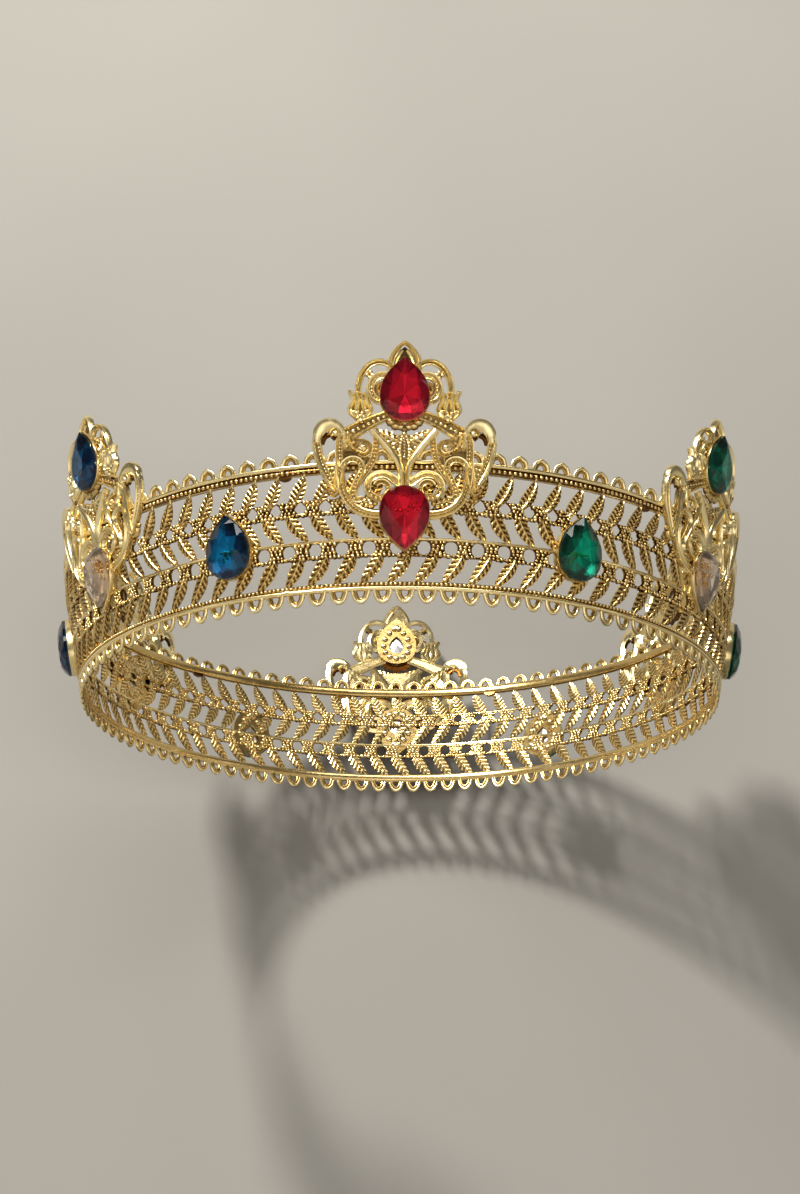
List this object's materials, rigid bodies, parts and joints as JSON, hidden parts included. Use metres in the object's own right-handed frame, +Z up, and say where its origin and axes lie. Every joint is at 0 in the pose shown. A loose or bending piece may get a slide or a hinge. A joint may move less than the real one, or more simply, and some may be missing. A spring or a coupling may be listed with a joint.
{
  "type": "crown",
  "caption": "Round openwork crown in gold-coloured metal: a flared filigree band of leaves between beaded rails, scroll crests around the top, and pear-shaped glass stones in cups.",
  "frame": {"origin": "middle of the ring, on the level of the lower loop tips that it rests on", "axes": "+Z up through the head opening, -Y towards the front crest with the two red stones, +X to the side with the green stones"},
  "size_m": [0.174, 0.1854, 0.0586],
  "materials": {
    "gold": "gold-plated cast zinc alloy, polished on the raised lines and darker in the recesses",
    "ruby": "faceted red glass with a foil back",
    "sapphire": "faceted deep blue glass with a foil back",
    "emerald": "faceted deep green glass with a foil back",
    "champagne": "faceted pale peach glass with a foil back"
  },
  "bodies": {
    "root": {"band_segment_front": "gold", "band_segment_front_right": "gold", "band_segment_rear_right": "gold", "band_segment_rear": "gold", "band_segment_rear_left": "gold", "band_segment_front_left": "gold", "crest_front": "gold", "crest_front_right": "gold", "crest_rear_right": "gold", "crest_rear": "gold", "crest_rear_left": "gold", "crest_front_left": "gold", "upper_cup_front": "gold", "upper_cup_front_right": "gold", "upper_cup_rear_right": "gold", "upper_cup_rear": "gold", "upper_cup_rear_left": "gold", "upper_cup_front_left": "gold", "upper_stone_front": "ruby", "upper_stone_front_right": "emerald", "upper_stone_rear_right": "emerald", "upper_stone_rear": "ruby", "upper_stone_rear_left": "sapphire", "upper_stone_front_left": "sapphire", "lower_cup_front": "gold", "lower_cup_front_right": "gold", "lower_cup_rear_right": "gold", "lower_cup_rear": "gold", "lower_cup_rear_left": "gold", "lower_cup_front_left": "gold", "lower_stone_front": "ruby", "lower_stone_front_right": "champagne", "lower_stone_rear_right": "champagne", "lower_stone_rear": "ruby", "lower_stone_rear_left": "champagne", "lower_stone_front_left": "champagne", "band_cup_front": "gold", "band_cup_front_right": "gold", "band_cup_rear_right": "gold", "band_cup_rear": "gold", "band_cup_rear_left": "gold", "band_cup_front_left": "gold", "band_stone_front": "emerald", "band_stone_front_right": "emerald", "band_stone_rear_right": "emerald", "band_stone_rear": "sapphire", "band_stone_rear_left": "sapphire", "band_stone_front_left": "sapphire", "joint_tab_front": "gold", "joint_tab_front_right": "gold", "joint_tab_rear_right": "gold", "joint_tab_rear": "gold", "joint_tab_rear_left": "gold", "joint_tab_front_left": "gold"}
  },
  "joints": []
}
